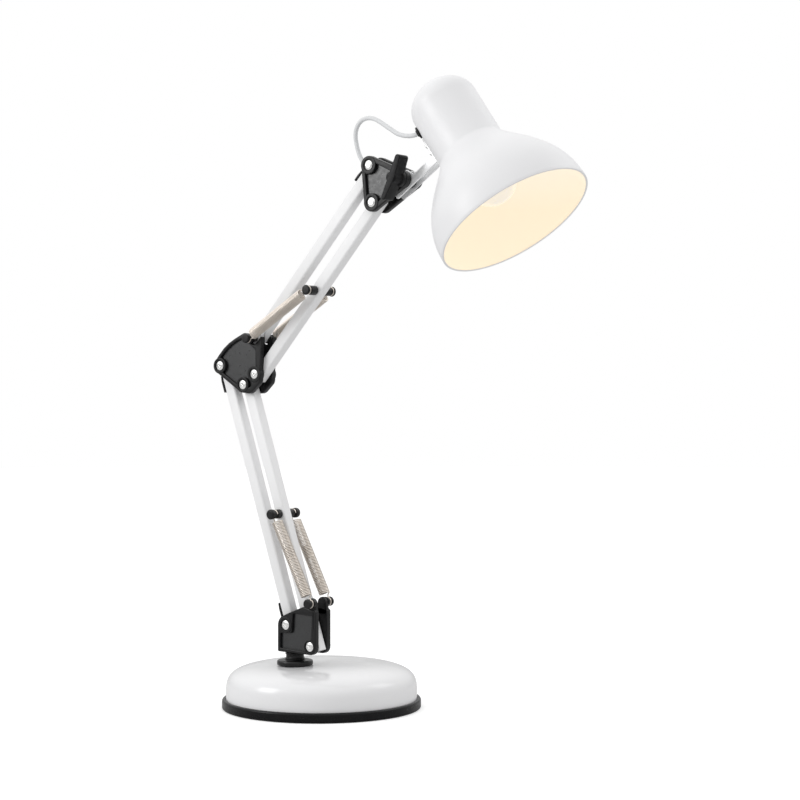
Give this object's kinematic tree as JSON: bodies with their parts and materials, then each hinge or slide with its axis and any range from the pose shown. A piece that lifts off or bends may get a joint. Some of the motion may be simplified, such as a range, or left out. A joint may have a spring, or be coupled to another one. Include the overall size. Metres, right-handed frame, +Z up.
{
  "type": "swing arm desk lamp",
  "caption": "Desk lamp with a round weighted base, a spring-balanced double parallelogram arm on a swivel and a tilting bell shade.",
  "frame": {"origin": "centre of the round base's underside, on the surface the lamp stands on", "axes": "+Z up; the arms lie in a plane of constant Y and reach towards +X in the rest pose, with the shade over +X"},
  "size_m": [0.387, 0.1909, 0.5642],
  "materials": {
    "white_gloss": "smooth glossy white",
    "white_satin": "satin white paint",
    "white_shade": "satin white paint over spun metal",
    "black_plastic": "satin black moulding",
    "rivet_steel": "bright plated",
    "fork_steel": "brushed sheet",
    "spring_steel": "nickel-plated wire, warm",
    "iron": "bare casting, hidden",
    "plate_steel": "zinc-plated, hidden",
    "rubber": "matt",
    "bulb_glass": "opal, warm",
    "cord_grey": "satin light grey sheath"
  },
  "bodies": {
    "base": {"base_cover": "white_gloss", "base_weight": "iron", "base_rim": "black_plastic", "base_plate": "plate_steel", "foot_pad": "rubber", "cord_inlet": "black_plastic", "swivel_collar": "black_plastic"},
    "swivel": {"swivel_spindle": "black_plastic", "spindle_nut": "plate_steel", "base_bracket_front": "black_plastic", "base_bracket_back": "black_plastic", "base_spring_peg_front": "black_plastic", "base_spring_peg_back": "black_plastic", "base_rivet_rear": "rivet_steel", "base_rivet_front": "rivet_steel"},
    "lower_rear_link": {"lower_tube_rear": "white_satin", "lower_guard_bottom": "black_plastic", "lower_guard_top": "black_plastic"},
    "lower_front_link": {"lower_tube_front": "white_satin", "lower_spring_pin": "rivet_steel", "lower_spring_bush_front": "black_plastic", "lower_spring_bush_back": "black_plastic"},
    "lower_springs": {"lower_spring_front": "spring_steel", "lower_spring_back": "spring_steel"},
    "lower_spring_hooks": {"lower_spring_hook_front": "spring_steel", "lower_spring_hook_back": "spring_steel"},
    "elbow": {"elbow_plate_front": "black_plastic", "elbow_plate_back": "black_plastic", "elbow_rivet_rear": "rivet_steel", "elbow_rivet_front": "rivet_steel", "elbow_rivet_upper": "rivet_steel", "elbow_spring_pin": "black_plastic"},
    "upper_rear_link": {"upper_tube_rear": "white_satin", "upper_guard": "black_plastic", "cord_bush": "black_plastic", "head_cord_foot": "cord_grey"},
    "upper_front_link": {"upper_tube_front": "white_satin", "upper_spring_pin": "rivet_steel", "upper_spring_bush_front": "black_plastic", "upper_spring_bush_back": "black_plastic"},
    "upper_springs": {"upper_spring_front": "spring_steel", "upper_spring_back": "spring_steel"},
    "upper_spring_hooks": {"upper_spring_hook_front": "spring_steel", "upper_spring_hook_back": "spring_steel"},
    "head_bracket": {"head_plate_front": "black_plastic", "head_plate_back": "black_plastic", "head_rivet_high": "rivet_steel", "head_rivet_low": "rivet_steel", "tilt_bolt": "rivet_steel", "head_cord_lower": "cord_grey"},
    "knob": {"tilt_knob": "black_plastic"},
    "head": {"shade": "white_shade", "shade_fork": "fork_steel", "friction_block": "black_plastic", "lampholder": "black_plastic", "bulb": "bulb_glass", "cord_grommet": "black_plastic", "fork_screw_low": "rivet_steel", "fork_screw_high": "rivet_steel", "head_cord_upper": "cord_grey"}
  },
  "joints": [
    {"name": "swivel_turn", "type": "hinge", "parent": "base", "child": "swivel", "pos_m": [-0.008, -0.029, 0.05], "axis": [0, 0, 1], "range_deg": [-170, 170]},
    {"name": "lower_arm", "type": "hinge", "parent": "swivel", "child": "lower_rear_link", "pos_m": [-0.0102, -0.029, 0.079], "axis": [0, 1, 0], "range_deg": [-17, 40]},
    {"name": "lower_arm_front", "type": "hinge", "parent": "swivel", "child": "lower_front_link", "pos_m": [0.0181, -0.029, 0.0611], "axis": [0, 1, 0], "range_deg": [-17.01, 40.01]},
    {"name": "lower_spring_turn", "type": "hinge", "parent": "lower_front_link", "child": "lower_springs", "pos_m": [-0.02183, -0.029, 0.17976], "axis": [0, 1, 0], "range_deg": [-7.26, 17.05]},
    {"name": "lower_hook_turn", "type": "hinge", "parent": "swivel", "child": "lower_spring_hooks", "pos_m": [0.0198, -0.029, 0.1004], "axis": [0, 1, 0], "range_deg": [-24.26, 57.05]},
    {"name": "elbow_level", "type": "hinge", "parent": "lower_rear_link", "child": "elbow", "pos_m": [-0.09007, -0.029, 0.31632], "axis": [0, 1, 0], "range_deg": [-40.01, 17.01]},
    {"name": "upper_arm", "type": "hinge", "parent": "elbow", "child": "upper_rear_link", "pos_m": [-0.05107, -0.029, 0.34112], "axis": [0, 1, 0], "range_deg": [-15, 38]},
    {"name": "upper_arm_front", "type": "hinge", "parent": "elbow", "child": "upper_front_link", "pos_m": [-0.04797, -0.029, 0.30812], "axis": [0, 1, 0], "range_deg": [-15.01, 38.01]},
    {"name": "upper_spring_turn", "type": "hinge", "parent": "upper_front_link", "child": "upper_springs", "pos_m": [0.02008, -0.029, 0.38343], "axis": [0, 1, 0], "range_deg": [-1.32, 3.32]},
    {"name": "upper_hook_turn", "type": "hinge", "parent": "elbow", "child": "upper_spring_hooks", "pos_m": [-0.05107, -0.029, 0.34112], "axis": [0, 1, 0], "range_deg": [-16.32, 41.32]},
    {"name": "head_level", "type": "hinge", "parent": "upper_rear_link", "child": "head_bracket", "pos_m": [0.08503, -0.029, 0.49174], "axis": [0, 1, 0], "range_deg": [-38.01, 15.01]},
    {"name": "head_tilt", "type": "hinge", "parent": "head_bracket", "child": "head", "pos_m": [0.12013, -0.029, 0.47734], "axis": [0, 1, 0], "range_deg": [-40, 40]},
    {"name": "knob_turn", "type": "hinge", "parent": "head_bracket", "child": "knob", "pos_m": [0.12013, -0.029, 0.47734], "axis": [0, 1, 0], "range_deg": [-90, 90]}
  ],
  "couplings": [
    {"joint": "lower_arm_front", "follows": "lower_arm", "ratio": 1},
    {"joint": "lower_spring_turn", "follows": "lower_arm", "ratio": 0.426},
    {"joint": "lower_hook_turn", "follows": "lower_arm", "ratio": 1.426},
    {"joint": "elbow_level", "follows": "lower_arm", "ratio": -1},
    {"joint": "upper_arm_front", "follows": "upper_arm", "ratio": 1},
    {"joint": "upper_spring_turn", "follows": "upper_arm", "ratio": 0.087},
    {"joint": "upper_hook_turn", "follows": "upper_arm", "ratio": 1.087},
    {"joint": "head_level", "follows": "upper_arm", "ratio": -1}
  ]
}
